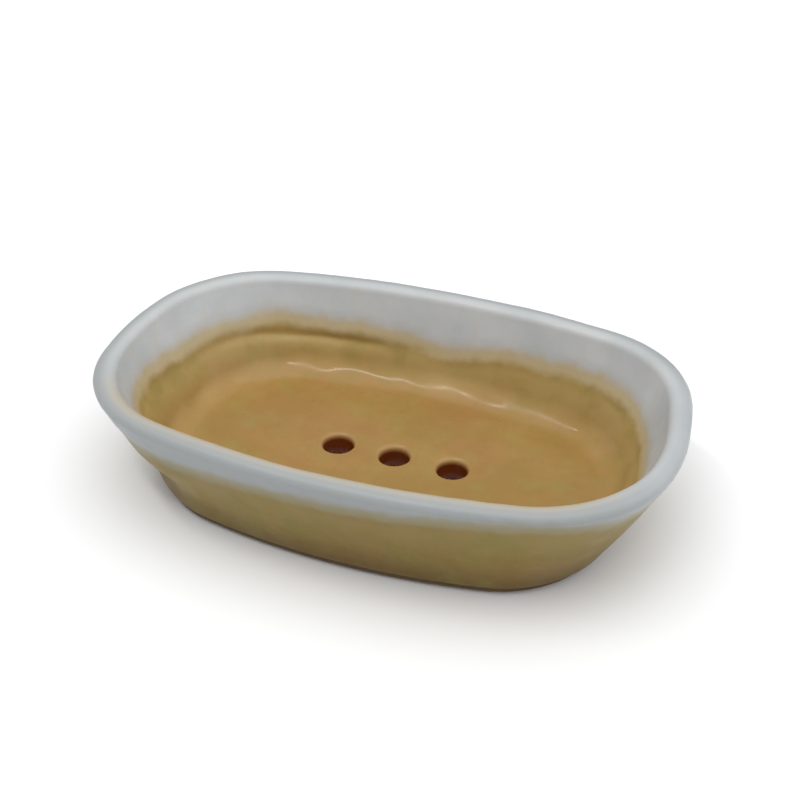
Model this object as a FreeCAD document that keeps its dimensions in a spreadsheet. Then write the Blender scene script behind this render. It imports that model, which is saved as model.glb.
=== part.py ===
"""Ceramic soap dish: an oval stoneware dish with three drain holes in its floor.

The dish stands on a bare foot ring.  A honey glaze coats the basin and the outer wall, and a white
glaze coats the rim, which was dipped upside down.  Each coat is a thin shell of its own on the clay.

Frame: millimetres, +Z up, +X along the dish, origin on the table under the middle of the floor.
"""

import FreeCAD, Part
import math
import os
import Sketcher

# Driving sizes: bare clay first, then the glazes, then the curves of the outline.
SIZES = [
    ("rim_length", 140.2, "clay, end to end in the plane of the lip, before rounding"),
    ("rim_width", 89.3, "clay, side to side in the plane of the lip, before rounding"),
    ("clay_height", 29.25, "table to the top of the clay lip"),
    ("waist_length", 122.2, "clay, end to end at the waist"),
    ("waist_width", 77.1, "clay, side to side at the waist"),
    ("waist_height", 12.0, "table to the waist, where the wall bends"),
    ("foot_length", 108.0, "clay, end to end at the table"),
    ("foot_width", 69.6, "clay, side to side at the table"),
    ("wall", 4.0, "level thickness of the clay wall"),
    ("floor_height", 6.0, "table to the top of the clay floor"),
    ("recess_depth", 1.0, "how far the underside stands clear of the table"),
    ("foot_ring_width", 6.0, "level width of the foot ring"),
    ("lip_radius", 1.4, "rounding of both edges of the clay lip"),
    ("cove_radius", 7.5, "rounding between floor and wall inside"),
    ("foot_radius", 2.0, "rounding of the outer edge at the table"),
    ("recess_radius", 0.8, "rounding of the foot ring's inner edge"),
    ("hole_diameter", 8.2, "drain hole in the bare clay"),
    ("hole_pitch", 14.8, "centre to centre of the drain holes"),
    ("hole_row_offset", 0.5, "the hand-drilled row's middle, off the middle of the dish towards +X"),
    ("hole_row_set_back", 1.3, "the hand-drilled row's middle, off the middle of the dish towards +Y"),
    ("hole_count", 3, "drain holes, in one row along the dish"),
    ("hole_edge_radius", 1.0, "rounding of the drain holes' top edges"),
    ("honey_glaze", 0.5, "thickness of the honey coat"),
    ("white_glaze", 0.75, "thickness of the white coat"),
    ("dip_depth", 10.25, "how deep the clay lip was dipped in white"),
    ("bare_height", 0.4, "wiped band of bare clay above the rounded foot edge"),
    ("overrun", 6.0, "how far cutting solids reach past what they cut"),
    ("side_radius_share", 1.5, "long side's radius as a share of the outline's length"),
    ("end_radius_share", 0.87, "end's radius as a share of the outline's width"),
    ("corner_radius_share", 0.37, "corner's radius as a share of the outline's width"),
    ("lip_limit_share", 0.8, "largest lip radius as a share of the one that rounds the whole lip"),
]

# The white coat's wavy edge: degrees round the rim from +X, and depth under the lip as a share of dip_depth.
EDGE_SHARES = [
    (0, 1.09),
    (25, 1.20),
    (45, 1.01),
    (62, 0.98),
    (76, 1.04),
    (84, 1.21),
    (91, 1.31),
    (99, 1.15),
    (112, 1.03),
    (130, 0.97),
    (150, 1.04),
    (172, 1.01),
    (192, 0.84),
    (215, 0.91),
    (238, 0.96),
    (255, 0.77),
    (275, 0.66),
    (295, 0.51),
    (309, 0.38),
    (322, 0.57),
    (340, 0.85),
]
# The cutter for that edge reaches from near the middle to well past the lip, in shares of its half sizes.
CORE_SHARE = 0.1
REACH_SHARE = 1.5
TOLERANCE = 1e-3

UP = FreeCAD.Vector(0, 0, 1)

doc = FreeCAD.newDocument("soap_dish")
sheet = doc.addObject("Spreadsheet::Sheet", "sizes")
for row, (alias, value, note) in enumerate(SIZES, 1):
    sheet.set(f"A{row}", alias)
    sheet.set(f"B{row}", str(value))
    sheet.set(f"C{row}", note)
    sheet.setAlias(f"B{row}", alias)
doc.recompute()


def number(expression):
    """The value that an expression on the sheet has now."""
    found = sheet.evalExpression(expression)
    return float(getattr(found, "Value", found))


def sketch_axis(letter):
    """The number that a sketch gives to its own X or Y axis.  The start of its X axis is its origin."""
    return -1 - "XY".index(letter)


def origin_feature(body, role):
    return next(feature for feature in body.Origin.OriginFeatures if feature.Role == role)


def level_sketch(body, name, height):
    """An empty sketch in a body, level at a height."""
    sketch = body.newObject("Sketcher::SketchObject", name)
    sketch.AttachmentSupport = [(origin_feature(body, "XY_Plane"), "")]
    sketch.MapMode = "FlatFace"
    sketch.setExpression("AttachmentOffset.Base.z", height)
    return sketch


def drive(sketch, name, constraint, expression):
    """Add a constraint whose value follows an expression on the sheet."""
    index = sketch.addConstraint(constraint)
    sketch.renameConstraint(index, name)
    sketch.setExpression(f"Constraints.{name}", expression)


def oval_arcs(half_length, half_width, end, corner, side):
    """The eight tangent arcs of an oval, anticlockwise from the end at +X."""
    end_centre = FreeCAD.Vector(half_length - end, 0, 0)
    side_centre = FreeCAD.Vector(0, half_width - side, 0)
    between = end_centre - side_centre
    along = (between.Length**2 + (side - corner) ** 2 - (end - corner) ** 2) / (2 * between.Length)
    across = math.sqrt((side - corner) ** 2 - along**2)
    direction = between / between.Length
    outward = FreeCAD.Vector(direction.y, -direction.x, 0)
    corner_centre = side_centre + direction * along + outward * across
    first = math.atan2(corner_centre.y, corner_centre.x - end_centre.x)
    last = math.atan2(corner_centre.y - side_centre.y, corner_centre.x)

    half_turn = math.pi
    quarter = [
        (end_centre, end, -first, first),
        (corner_centre, corner, first, last),
        (side_centre, side, last, half_turn - last),
        (FreeCAD.Vector(-corner_centre.x, corner_centre.y, 0), corner, half_turn - last, half_turn - first),
    ]
    opposite = [
        (centre * -1, radius, half_turn + start, half_turn + stop) for centre, radius, start, stop in quarter
    ]
    return [
        Part.ArcOfCircle(Part.Circle(centre, UP, radius), start, stop)
        for centre, radius, start, stop in quarter + opposite
    ]


def oval_sketch(body, name, height, length, width):
    """An oval of eight tangent arcs, level at a height.  All its sizes are expressions on the sheet."""
    end_radius = f"({width}) * sizes.end_radius_share"
    corner_radius = f"({width}) * sizes.corner_radius_share"
    side_radius = f"({length}) * sizes.side_radius_share"
    half_length = f"({length}) / 2"
    half_width = f"({width}) / 2"
    measures = [number(e) for e in (half_length, half_width, end_radius, corner_radius, side_radius)]
    arcs = oval_arcs(*measures)

    sketch = level_sketch(body, name, height)
    sketch.addGeometry(arcs, False)
    right, top, left, bottom = range(0, len(arcs), 2)
    corners = range(1, len(arcs), 2)
    relation = Sketcher.Constraint
    for index in range(len(arcs)):
        sketch.addConstraint(relation("Tangent", index, 2, (index + 1) % len(arcs), 1))
    for index in corners[1:]:
        sketch.addConstraint(relation("Equal", corners[0], index))
    for first, second, axis in ((right, left, "X"), (top, bottom, "Y")):
        sketch.addConstraint(relation("Equal", first, second))
        for arc in (first, second):
            sketch.addConstraint(relation("PointOnObject", arc, 3, sketch_axis(axis)))
    drive(sketch, "end_radius", relation("Radius", right, number(end_radius)), end_radius)
    drive(sketch, "corner_radius", relation("Radius", corners[0], number(corner_radius)), corner_radius)
    drive(sketch, "side_radius", relation("Radius", top, number(side_radius)), side_radius)

    reach = FreeCAD.Vector(number(half_length), 0, 0)
    spread = FreeCAD.Vector(0, number(half_width), 0)
    extremes = [
        ("right_half", right, reach, "X", half_length),
        ("left_half", left, reach * -1, "X", half_length),
        ("top_half", top, spread, "Y", half_width),
        ("bottom_half", bottom, spread * -1, "Y", half_width),
    ]
    for label, arc, place, axis, half in extremes:
        mark = sketch.addGeometry(Part.Point(place), True)
        sketch.addConstraint(relation("PointOnObject", mark, 1, arc))
        sketch.addConstraint(relation("PointOnObject", mark, 1, sketch_axis(axis)))
        ends = [(sketch_axis("X"), 1), (mark, 1)]
        if arc in (left, bottom):
            ends.reverse()
        drive(sketch, label, relation(f"Distance{axis}", *ends[0], *ends[1], number(half)), half)
    return sketch


def lofted(body, kind, name, sections):
    loft = body.newObject(kind, name)
    loft.Profile = sections[0]
    loft.Sections = sections[1:]
    loft.Ruled = False
    doc.recompute()
    return loft


def level_edges(shape, height, wanted=lambda edge: True):
    """Names of the wanted edges that lie level at a height."""
    names = []
    for index, edge in enumerate(shape.Edges, 1):
        box = edge.BoundBox
        if abs(box.ZMin - height) < TOLERANCE and abs(box.ZMax - height) < TOLERANCE and wanted(edge):
            names.append(f"Edge{index}")
    return names


def rounded(body, name, base, edges, radius):
    fillet = body.newObject("PartDesign::Fillet", name)
    fillet.Base = (base, edges)
    fillet.setExpression("Radius", radius)
    body.Tip = fillet
    doc.recompute()
    return fillet


def lower_lean(side):
    """How far the wall runs out for each millimetre up, from the foot to the waist."""
    return f"((sizes.waist_{side} - sizes.foot_{side}) / 2 / sizes.waist_height)"


def upper_lean(side):
    """How far the wall runs out for each millimetre up, from the waist to the lip."""
    return f"((sizes.rim_{side} - sizes.waist_{side}) / 2 / (sizes.clay_height - sizes.waist_height))"


def lip_lean(side):
    """How far the wall runs out for each millimetre up, just at the lip of the curved wall."""
    upper_share = "(1 - sizes.waist_height / sizes.clay_height)"
    return f"({upper_lean(side)} + ({upper_lean(side)} - {lower_lean(side)}) * {upper_share})"


def slant(lean):
    """Level thickness of a coat on a leaning wall, for each millimetre of its true thickness."""
    return f"sqrt(1 + {lean}^2)"


def lip_radius(coat):
    """The lip's rounding, which the leaning wall limits: past the limit, its two roundings would meet."""
    length_slant = slant(lip_lean("length"))
    width_slant = slant(lip_lean("width"))
    limit = f"sizes.lip_limit_share * sizes.wall / 2 / max({length_slant}; {width_slant})"
    return f"min(sizes.lip_radius; {limit}) + {coat}"


def outer_sections(body, coat):
    """Outlines of the outer wall at the table, the waist and the lip, each grown by a coat."""

    def at_foot(side):
        return f"sizes.foot_{side} + 2 * {coat} * {slant(lower_lean(side))}"

    def at_waist(side):
        return f"sizes.waist_{side} + 2 * {coat} * {slant(upper_lean(side))}"

    def at_rim(side):
        return f"sizes.rim_{side} + 2 * {coat} * ({slant(lip_lean(side))} + {lip_lean(side)})"

    levels = [
        ("foot_outline", "0", at_foot),
        ("waist_outline", "sizes.waist_height", at_waist),
        ("rim_outline", f"sizes.clay_height + {coat}", at_rim),
    ]
    return [oval_sketch(body, name, height, at("length"), at("width")) for name, height, at in levels]


def inner_sections(body, inset, coat, floor):
    """Outlines at the floor, the waist and the lip, an inset in from the bare outer wall and under a coat."""

    def at_floor(side):
        rise = f"{lower_lean(side)} * ({floor})"
        return f"sizes.foot_{side} + 2 * ({rise} - {inset} - {coat} * {slant(lower_lean(side))})"

    def at_waist(side):
        return f"sizes.waist_{side} - 2 * ({inset} + {coat} * {slant(upper_lean(side))})"

    def at_mouth(side):
        return f"sizes.rim_{side} - 2 * ({inset} + {coat} * ({slant(lip_lean(side))} - {lip_lean(side)}))"

    levels = [
        ("floor_outline", floor, at_floor),
        ("inner_waist_outline", "sizes.waist_height", at_waist),
        ("mouth_outline", f"sizes.clay_height + {coat}", at_mouth),
    ]
    return [oval_sketch(body, name, height, at("length"), at("width")) for name, height, at in levels]


def pocketed(body, name, profile, depth):
    """Cut a profile upwards from the table, and make sure that it cut something."""
    before = body.Shape.Volume
    pocket = body.newObject("PartDesign::Pocket", name)
    pocket.Profile = profile
    pocket.Reversed = True
    pocket.setExpression("Length", depth)
    doc.recompute()
    if pocket.Shape.Volume >= before:
        raise RuntimeError(f"{name} cut nothing")
    return pocket


def foot_recess(body):
    """The hollow under the floor, which leaves a foot ring at the table."""
    length = "sizes.foot_length - 2 * sizes.foot_ring_width"
    width = "sizes.foot_width - 2 * sizes.foot_ring_width"
    outline = oval_sketch(body, "recess_outline", "0", length, width)
    pocket = pocketed(body, "foot_recess", outline, "sizes.recess_depth")
    x_limit = number(f"({length}) / 2") + TOLERANCE
    y_limit = number(f"({width}) / 2") + TOLERANCE

    def inside_ring(edge):
        return edge.BoundBox.XMax < x_limit and edge.BoundBox.YMax < y_limit

    edges = level_edges(pocket.Shape, 0, inside_ring)
    return rounded(body, "recess_edge", pocket, edges, "sizes.recess_radius")


def drain_holes(body, coat, floor):
    """A row of round holes through the floor, patterned along the dish, with softened top edges."""
    radius = f"sizes.hole_diameter / 2 - {coat}"
    row_length = "sizes.hole_pitch * (sizes.hole_count - 1)"
    first = f"{row_length} / 2 - sizes.hole_row_offset"
    set_back = "sizes.hole_row_set_back"
    sketch = level_sketch(body, "hole_outline", "0")
    centre = FreeCAD.Vector(-number(first), number(set_back), 0)
    circle = sketch.addGeometry(Part.Circle(centre, UP, number(radius)), False)
    relation = Sketcher.Constraint
    drive(sketch, "radius", relation("Radius", circle, number(radius)), radius)
    place_along = relation("DistanceX", circle, 3, sketch_axis("X"), 1, number(first))
    drive(sketch, "first_place", place_along, first)
    place_across = relation("DistanceY", sketch_axis("X"), 1, circle, 3, number(set_back))
    drive(sketch, "set_back", place_across, set_back)

    pocket = pocketed(body, "first_drain_hole", sketch, f"{floor} + sizes.overrun")
    pattern = body.newObject("PartDesign::LinearPattern", "drain_hole_row")
    pattern.Originals = [pocket]
    pattern.Direction = (origin_feature(body, "X_Axis"), [""])
    pattern.setExpression("Length", row_length)
    pattern.setExpression("Occurrences", "sizes.hole_count")
    body.Tip = pattern
    doc.recompute()

    def hole_rim(edge):
        return abs(getattr(edge.Curve, "Radius", 0) - number(radius)) < TOLERANCE

    edges = level_edges(pattern.Shape, number(floor), hole_rim)
    return rounded(body, "hole_edges", pattern, edges, f"sizes.hole_edge_radius + {coat}")


def dish_form(name, coat, features):
    """The dish as one body, grown by a coat, with what is asked for of its lip, cove, foot and holes."""
    body = doc.addObject("PartDesign::Body", name)
    floor = f"sizes.floor_height + {coat}"
    top = f"sizes.clay_height + {coat}"
    lofted(body, "PartDesign::AdditiveLoft", "outer_wall", outer_sections(body, coat))
    inside = inner_sections(body, "sizes.wall", coat, floor)
    form = lofted(body, "PartDesign::SubtractiveLoft", "basin", inside)
    if "lip" in features:
        form = rounded(body, "lip", form, level_edges(form.Shape, number(top)), lip_radius(coat))
    if "cove" in features:
        edges = level_edges(form.Shape, number(floor))
        form = rounded(body, "cove", form, edges, f"sizes.cove_radius - {coat}")
    if "foot" in features:
        form = rounded(body, "foot_edge", form, level_edges(form.Shape, 0), "sizes.foot_radius")
        foot_recess(body)
    if "holes" in features:
        drain_holes(body, coat, floor)
    return body


def mid_wall_form():
    """A solid whose side runs through the middle of the clay wall, to part the inside from the outside."""
    body = doc.addObject("PartDesign::Body", "mid_wall")
    sections = inner_sections(body, "sizes.wall / 2", "0", "0")
    lofted(body, "PartDesign::AdditiveLoft", "mid_wall_solid", sections)
    return body


def dip_edge_ring(scale_share):
    """The white coat's edge as a closed curve on an ellipse, at a share of the lip's half sizes."""
    half_length = number("sizes.rim_length / 2") * scale_share
    half_width = number("sizes.rim_width / 2") * scale_share
    points = []
    for angle, depth_share in EDGE_SHARES:
        x = half_length * math.cos(math.radians(angle))
        y = half_width * math.sin(math.radians(angle))
        z = number("sizes.clay_height") - depth_share * number("sizes.dip_depth")
        points.append(FreeCAD.Vector(x, y, z))
    curve = Part.BSplineCurve()
    turns = [angle / 360 for angle, _ in EDGE_SHARES] + [1.0]
    curve.interpolate(Points=points, PeriodicFlag=True, Parameters=turns)
    return curve.toShape()


def dip_zone():
    """Everything that was under the white glaze when the rim was dipped: the space above its wavy edge."""
    surface = Part.makeRuledSurface(dip_edge_ring(CORE_SHARE), dip_edge_ring(REACH_SHARE))
    zone = doc.addObject("Part::Feature", "dip_zone")
    zone.Shape = surface.extrude(UP * number("sizes.dip_depth * 2 + sizes.overrun"))
    return zone


def space_below(name, height):
    """The space under a height, wider than the dish."""
    space = doc.addObject("Part::Box", name)
    space.setExpression("Length", "sizes.rim_length + 2 * sizes.overrun")
    space.setExpression("Width", "sizes.rim_width + 2 * sizes.overrun")
    space.setExpression("Height", f"{height} + sizes.overrun")
    space.setExpression("Placement.Base.x", "-(sizes.rim_length / 2 + sizes.overrun)")
    space.setExpression("Placement.Base.y", "-(sizes.rim_width / 2 + sizes.overrun)")
    space.setExpression("Placement.Base.z", "-sizes.overrun")
    return space


def boolean(kind, name, base, tool):
    made = doc.addObject(kind, name)
    made.Base = base
    made.Tool = tool
    doc.recompute()
    return made


# The clay, and the dish as it would be with a honey coat, or with a white coat, all over.
stoneware = dish_form("stoneware_body", "0", ("lip", "cove", "foot", "holes"))
honey_form = dish_form("honey_form", "sizes.honey_glaze", ("cove", "holes"))
white_form = dish_form("white_form", "sizes.white_glaze", ("lip",))
middle = mid_wall_form()
dipped = dip_zone()

# The white coat is what lies between clay and white form where the rim was dipped.
white_skin = boolean("Part::Cut", "white_skin", white_form, stoneware)
white_rim = boolean("Part::Common", "white_glaze_rim", white_skin, dipped)

# The honey coat covers the rest, inside down through the drain holes and outside down to the wiped foot.
honey_skin = boolean("Part::Cut", "honey_skin", honey_form, stoneware)
honey_coat = boolean("Part::Cut", "honey_coat", honey_skin, dipped)
honey_basin = boolean("Part::Common", "honey_basin", honey_coat, middle)
recess_space = space_below("recess_space", "sizes.recess_depth")
honey_inside = boolean("Part::Cut", "honey_glaze_inside", honey_basin, recess_space)
honey_wall = boolean("Part::Cut", "honey_wall", honey_coat, middle)
wiped_space = space_below("wiped_space", "sizes.foot_radius + sizes.bare_height")
honey_outside = boolean("Part::Cut", "honey_glaze_outside", honey_wall, wiped_space)

SUB_PARTS = [stoneware, honey_inside, honey_outside, white_rim]

for made in doc.Objects:
    if {"Invalid", "Error"} & set(made.State):
        raise RuntimeError(f"{made.Label} failed: {made.State}")
for part in SUB_PARTS:
    if part.Shape.isNull() or not part.Shape.isValid():
        raise RuntimeError(f"{part.Label} has no valid shape")

os.makedirs("parts", exist_ok=True)
for part in SUB_PARTS:
    part.Shape.exportStep(os.path.join("parts", part.Label + ".step"))
    box = part.Shape.optimalBoundingBox(False, False)
    print(
        f"{part.Label}: {len(part.Shape.Solids)} solid, {part.Shape.Volume:.0f} mm3, "
        f"{box.XLength:.2f} x {box.YLength:.2f} x {box.ZLength:.2f} mm"
    )
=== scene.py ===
# %% [markdown]
# # A hand-made stoneware soap dish
# The dish is one piece of fired clay under three coats of glaze: honey inside, honey outside and a white
# coat that the rim was dipped in.  The CAD model gives their places and sizes.  This lesson shapes the same
# pieces again as fine meshes, with the small unevenness of a hand-made pot, and gives each its finish.

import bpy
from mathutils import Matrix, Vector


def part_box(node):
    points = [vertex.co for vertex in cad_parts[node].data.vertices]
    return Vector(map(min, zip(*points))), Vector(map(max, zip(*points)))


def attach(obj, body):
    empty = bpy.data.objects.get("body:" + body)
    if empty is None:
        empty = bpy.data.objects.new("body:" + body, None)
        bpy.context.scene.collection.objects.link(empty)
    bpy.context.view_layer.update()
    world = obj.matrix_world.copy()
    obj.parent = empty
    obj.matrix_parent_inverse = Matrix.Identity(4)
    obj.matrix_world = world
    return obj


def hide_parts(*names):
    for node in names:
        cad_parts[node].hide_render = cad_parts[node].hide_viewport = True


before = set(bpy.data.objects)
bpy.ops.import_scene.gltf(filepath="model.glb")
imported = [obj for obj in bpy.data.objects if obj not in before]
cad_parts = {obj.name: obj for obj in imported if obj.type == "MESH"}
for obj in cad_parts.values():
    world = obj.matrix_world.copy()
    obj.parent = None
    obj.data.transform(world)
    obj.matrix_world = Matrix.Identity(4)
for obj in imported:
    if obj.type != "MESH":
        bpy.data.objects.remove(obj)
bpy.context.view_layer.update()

# %% [markdown]
# ## The camera
# A camera can be dragged until the view looks right, or solved for.  Here it is solved for: the outline of
# the lip and of the foot in the picture fix the angle, the distance and the focal length.  The picture was
# cropped off centre, and the lens shift stands for that crop.

# %% Camera
import math

import bpy
import numpy as np
from mathutils import Vector, noise
from mathutils.geometry import delaunay_2d_cdt

MM = 0.001
PICTURE_SIDE = 800          # pixels
AZIMUTH = math.radians(21.435)
ELEVATION = math.radians(34.25)
STAND_OFF = 300.5 * MM
LOOK_AT = Vector((0, 0, 15 * MM))
FOCAL_LENGTH = 1268.4       # pixels
OPTICAL_CENTRE = (390.6, 428.0)

camera_data = bpy.data.cameras.new("picture_camera")
camera = bpy.data.objects.new("picture_camera", camera_data)
bpy.context.scene.collection.objects.link(camera)
backwards = Vector((math.sin(AZIMUTH) * math.cos(ELEVATION),
                    -math.cos(AZIMUTH) * math.cos(ELEVATION),
                    math.sin(ELEVATION)))
camera.location = LOOK_AT + backwards * STAND_OFF
camera.rotation_euler = (math.pi / 2 - ELEVATION, 0, AZIMUTH)
camera_data.lens = FOCAL_LENGTH / PICTURE_SIDE * camera_data.sensor_width
camera_data.shift_x = 0.5 - OPTICAL_CENTRE[0] / PICTURE_SIDE
camera_data.shift_y = OPTICAL_CENTRE[1] / PICTURE_SIDE - 0.5
camera_data.clip_start = 10 * MM
bpy.context.scene.camera = camera
print("lens, mm:", round(camera_data.lens, 2))

# %% [markdown]
# ## The oval
# Seen from above the dish is not an ellipse: its ends are blunter and its long sides straighter.  A potter's
# template for it has eight arcs, a flat one on each side and each end and a rounder one at each corner, all
# tangent where they meet.  A scaled circle would be shorter to write, but its outline would miss the real
# one by several millimetres.  Every vertex keeps its arc and its share of that arc on all levels, so columns
# of vertices run straight up the wall.

# %% Eight-arc oval
SIDE_RADIUS_SHARE = 1.5     # of the length
END_RADIUS_SHARE = 0.87     # of the width
CORNER_RADIUS_SHARE = 0.37  # of the width


def oval_corner(half_length, half_width):
    """Radii, corner-arc centre and the two joining angles of an oval of those half sizes."""
    side = 2 * SIDE_RADIUS_SHARE * half_length
    end = 2 * END_RADIUS_SHARE * half_width
    corner = 2 * CORNER_RADIUS_SHARE * half_width
    run, rise = half_length - end, side - half_width
    gap = np.hypot(run, rise)
    along = (gap**2 + (side - corner)**2 - (end - corner)**2) / (2 * gap)
    across = np.sqrt((side - corner)**2 - along**2)
    centre_x = (run * along + rise * across) / gap
    centre_y = half_width - side + (rise * along - run * across) / gap
    first = np.arctan2(centre_y, centre_x - run)
    last = np.arctan2(centre_y + rise, centre_x)
    return side, end, corner, centre_x, centre_y, first, last


def oval_points(arc, share, half_length, half_width):
    """Places on the oval and the outward direction there, for an arc number and a share of that arc."""
    side, end, corner, centre_x, centre_y, first, last = oval_corner(half_length, half_width)
    zero = np.zeros_like(centre_x)
    kind = arc % 4
    x = np.choose(kind, [half_length - end, centre_x, zero, -centre_x])
    y = np.choose(kind, [zero, centre_y, half_width - side, centre_y])
    radius = np.choose(kind, [end, corner, side, corner])
    start = np.choose(kind, [-first, first, last, math.pi - last])
    stop = np.choose(kind, [first, last, math.pi - last, math.pi - first])
    angle = start + (stop - start) * share
    half_turn = np.where(arc < 4, 1, -1)
    facing = np.stack([np.cos(angle), np.sin(angle)], -1) * half_turn[..., None]
    return np.stack([x, y], -1) * half_turn[..., None] + facing * radius[..., None], facing


# %% [markdown]
# ## The clay's section
# Cut across, the wall is a leaning strip with a coved foot inside, a full round lip and a foot ring below.
# It could be drawn as one curve and spun, but the lean differs between the ends and the sides.  So the
# section is drawn with the wall upright, as insets from the outer wall and heights, and each corner's arc is
# sheared by the lean of its own column before it is rounded.  Sizes are in millimetres.

# %% Sizes of the clay
CLAY_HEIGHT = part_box("stoneware_body")[1].z / MM
WAIST_HEIGHT = 12.0
FOOT_HALF, WAIST_HALF, RIM_HALF = (54.0, 34.8), (61.1, 38.55), (70.1, 44.65)   # half lengths and widths
LEVELS = [0.0, WAIST_HEIGHT, CLAY_HEIGHT]
LENGTH_CURVE, WIDTH_CURVE = (np.polyfit(LEVELS, halves, 2) for halves in zip(FOOT_HALF, WAIST_HALF, RIM_HALF))
WALL = 4.0
FLOOR_HEIGHT = 6.0
RECESS_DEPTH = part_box("honey_glaze_inside")[0].z / MM      # its hole linings end there
FOOT_RING = 6.0
FLAT_MARGIN = 9.0           # floor and recess beyond the corner that the wall's mesh still covers
COVE_RADIUS, FOOT_RADIUS = 7.5, 2.0
LIP_INNER_RADIUS, LIP_OUTER_RADIUS = 1.9, 1.0
RING_RADIUS, RECESS_RADIUS = 0.45, 0.15
COLUMN_STEP = 0.75          # spacing of the columns along the rim
ARC_STEPS = 24              # places along each rounded corner of the section
LEAN_STEP = 1.0             # the lean is measured this far above and below a height

rim_half = np.polyval(LENGTH_CURVE, CLAY_HEIGHT), np.polyval(WIDTH_CURVE, CLAY_HEIGHT)
side, end, corner, _, _, first, last = oval_corner(*rim_half)
corner_length = (last - first) * corner
arc_lengths = [2 * first * end, corner_length, (math.pi - 2 * last) * side, corner_length] * 2
column_arcs, column_shares = [], []
for arc, length in enumerate(arc_lengths):
    count = round(length / COLUMN_STEP)
    column_arcs += [arc] * count
    column_shares += [step / count for step in range(count)]
column_arcs, column_shares = np.array(column_arcs), np.array(column_shares)
COLUMNS = len(column_arcs)
rim_outline, rim_facing = oval_points(column_arcs, column_shares,
                                      np.full(COLUMNS, rim_half[0]), np.full(COLUMNS, rim_half[1]))
column_turn = np.arctan2(rim_outline[:, 1] / rim_half[1], rim_outline[:, 0] / rim_half[0])
print("rim, mm round:", round(sum(arc_lengths), 1), "columns:", COLUMNS)


# %% Section corners rounded
def wall_points(inset, height):
    """Places at an inset from the outer wall, at heights, for all the columns."""
    arcs = np.broadcast_to(column_arcs[:, None], height.shape)
    shares = np.broadcast_to(column_shares[:, None], height.shape)
    outline, _ = oval_points(arcs, shares, np.polyval(LENGTH_CURVE, height) - inset,
                             np.polyval(WIDTH_CURVE, height) - inset)
    return np.concatenate([outline, height[..., None]], -1)


def wall_reach(height):
    """How far the outer wall lies outside the rim's outline, measured square to the outline."""
    outline = wall_points(np.zeros_like(height), height)[..., :2]
    return ((outline - rim_outline[:, None]) * rim_facing[:, None]).sum(-1)


def wall_lean(height):
    """Sideways run for each millimetre of rise, one value for each column."""
    levels = np.broadcast_to([height - LEAN_STEP, height + LEAN_STEP], (COLUMNS, 2))
    reach = wall_reach(levels)
    return (reach[:, 1] - reach[:, 0]) / (2 * LEAN_STEP)


def unit(vectors):
    return vectors / np.linalg.norm(vectors, axis=-1, keepdims=True)


def rounded(before, corner, after, radius, lean):
    """Insets and heights along the arc that rounds a corner of the section, in every column."""
    def sheared(point):
        return np.stack([lean * (point[1] - corner[1]) - point[0], np.full(COLUMNS, point[1])], -1)
    tip = sheared(corner)
    back, on = unit(sheared(before) - tip), unit(sheared(after) - tip)
    half = np.arccos((back * on).sum(-1)) / 2
    trim, sweep = (radius / np.tan(half))[:, None], (math.pi - 2 * half)[:, None, None]
    centre = tip + unit(back + on) * (radius / np.sin(half))[:, None]
    share = np.linspace(0, 1, ARC_STEPS)[None, :, None]
    arc = (np.sin((1 - share) * sweep) * (tip + back * trim - centre)[:, None]
           + np.sin(share * sweep) * (tip + on * trim - centre)[:, None]) / np.sin(sweep) + centre[:, None]
    inset = lean[:, None] * (arc[..., 1] - corner[1]) - arc[..., 0]
    return np.stack([inset, arc[..., 1]], -1)


SECTION = [(WALL + FLAT_MARGIN, FLOOR_HEIGHT), (WALL, FLOOR_HEIGHT), (WALL, CLAY_HEIGHT), (0, CLAY_HEIGHT),
           (0, 0), (FOOT_RING, 0), (FOOT_RING, RECESS_DEPTH), (FOOT_RING + FLAT_MARGIN, RECESS_DEPTH)]
COVE_END, LIP_TOP, OUTER_LIP_END = ARC_STEPS, 2 * ARC_STEPS, 3 * ARC_STEPS   # places along the section
COVE_MIDDLE, CREST = 1 + ARC_STEPS // 2, 1 + ARC_STEPS + ARC_STEPS // 2
ROUNDINGS = [COVE_RADIUS, LIP_INNER_RADIUS, LIP_OUTER_RADIUS, FOOT_RADIUS, RING_RADIUS, RECESS_RADIUS]
arcs = [rounded(*SECTION[place:place + 3], radius, wall_lean(SECTION[place + 1][1]))
        for place, radius in enumerate(ROUNDINGS)]
ends = [np.broadcast_to(np.array(point, float), (COLUMNS, 1, 2)) for point in (SECTION[0], SECTION[-1])]
section = np.concatenate([ends[0], *arcs, ends[1]], 1)
steps = np.stack([wall_reach(section[..., 1]) - section[..., 0], section[..., 1]], -1)
section_run = np.concatenate([np.zeros((COLUMNS, 1)),
                              np.cumsum(np.linalg.norm(np.diff(steps, axis=1), axis=-1), 1)], 1)
print("section, mm along:", round(section_run[:, -1].min(), 1), "to", round(section_run[:, -1].max(), 1))

# %% [markdown]
# ## Where the white glaze ends
# The rim was dipped, so the edge of the white runs nearly level round the dish, higher where the dish was
# tilted and lower where the glaze ran in the kiln.  It could be painted by a mask in one material.  Here the
# mesh itself is parted along the edge, because the white is a coat of its own on top of the clay: the rows
# of vertices are spread between that edge and the other ends of each coat.

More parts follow.
